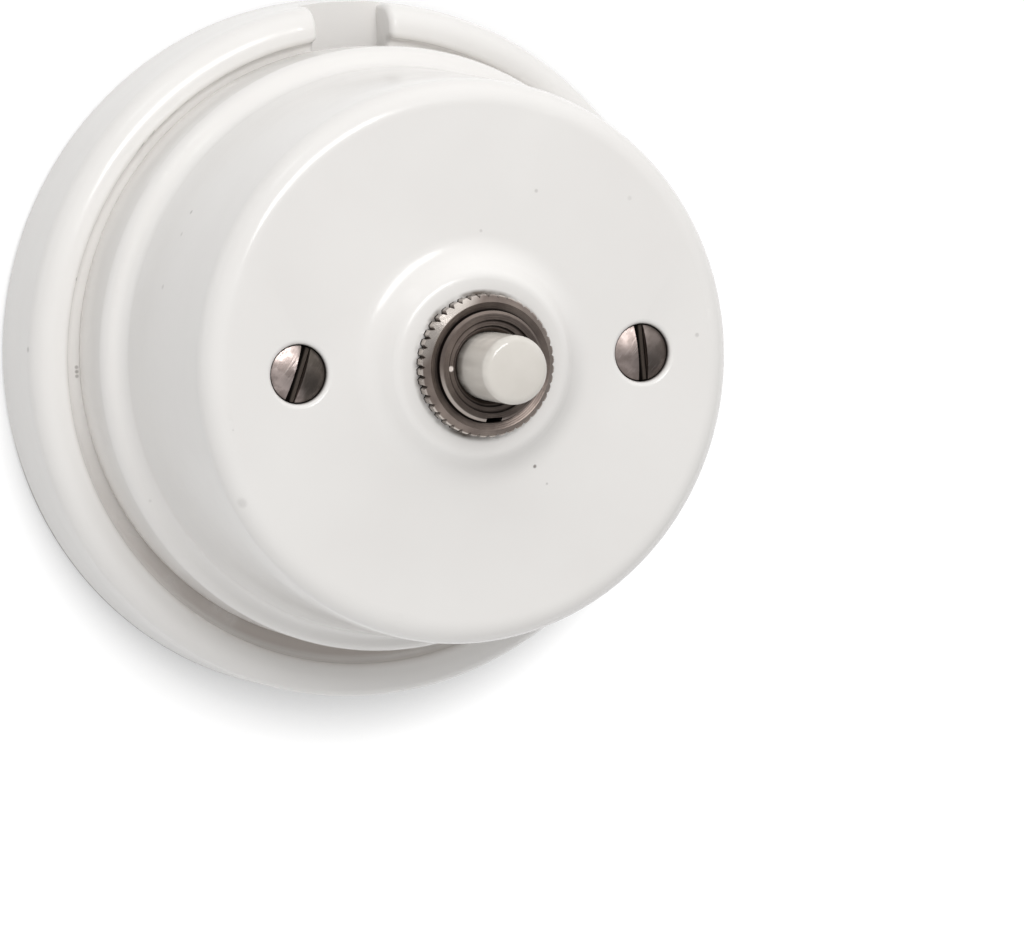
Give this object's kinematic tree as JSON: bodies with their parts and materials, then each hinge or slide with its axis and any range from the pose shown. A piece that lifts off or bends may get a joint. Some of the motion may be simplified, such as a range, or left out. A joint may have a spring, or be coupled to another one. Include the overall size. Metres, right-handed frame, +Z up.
{
  "type": "doorbell push",
  "caption": "Round porcelain bell push for a wall: a rimmed base with a cable notch, a domed-edge cover held by screws, and a sprung porcelain button in a knurled metal ring nut.",
  "frame": {"origin": "where the axis of the button meets the wall, half way between the wall screws", "axes": "+Z up, +Y into the wall, so that the button faces -Y; the cable notch is at the top"},
  "size_m": [0.08, 0.0559, 0.08],
  "materials": {
    "porcelain": "white glaze over porcelain, with small dark specks",
    "button_porcelain": "slightly warm white glaze",
    "screw_steel": "slotted steel, dulled and scratched",
    "brass": "plain turned brass",
    "nickelled_brass": "nickel plated, tarnished to grey-brown",
    "zinc_steel": "zinc plated",
    "fibre": "pressed red fibre",
    "spring_steel": "drawn wire",
    "phenolic": "moulded brown phenolic"
  },
  "bodies": {
    "housing": {"mounting_base": "porcelain", "cover": "porcelain", "cover_screws": "screw_steel", "pillar_screws": "screw_steel", "left_pillar": "brass", "right_pillar": "brass", "ring_nut": "nickelled_brass", "bush": "nickelled_brass", "key_washer": "zinc_steel", "sealing_washer": "fibre", "return_spring": "spring_steel", "switch_body": "phenolic", "contact_plate": "phenolic", "left_contact": "brass", "right_contact": "brass", "wire_clamps": "brass", "terminal_screws": "brass", "body_screws": "brass"},
    "plunger": {"push_button": "button_porcelain", "plunger_stem": "brass", "contact_bridge": "brass", "bridge_clip": "spring_steel"}
  },
  "joints": [
    {"name": "button_push", "type": "slide", "parent": "housing", "child": "plunger", "axis": [0, 1, 0], "range_m": [0, 0.0025], "stiffness_N_per_m": 600, "springref_m": -0.003, "deforming": ["return_spring"]}
  ]
}
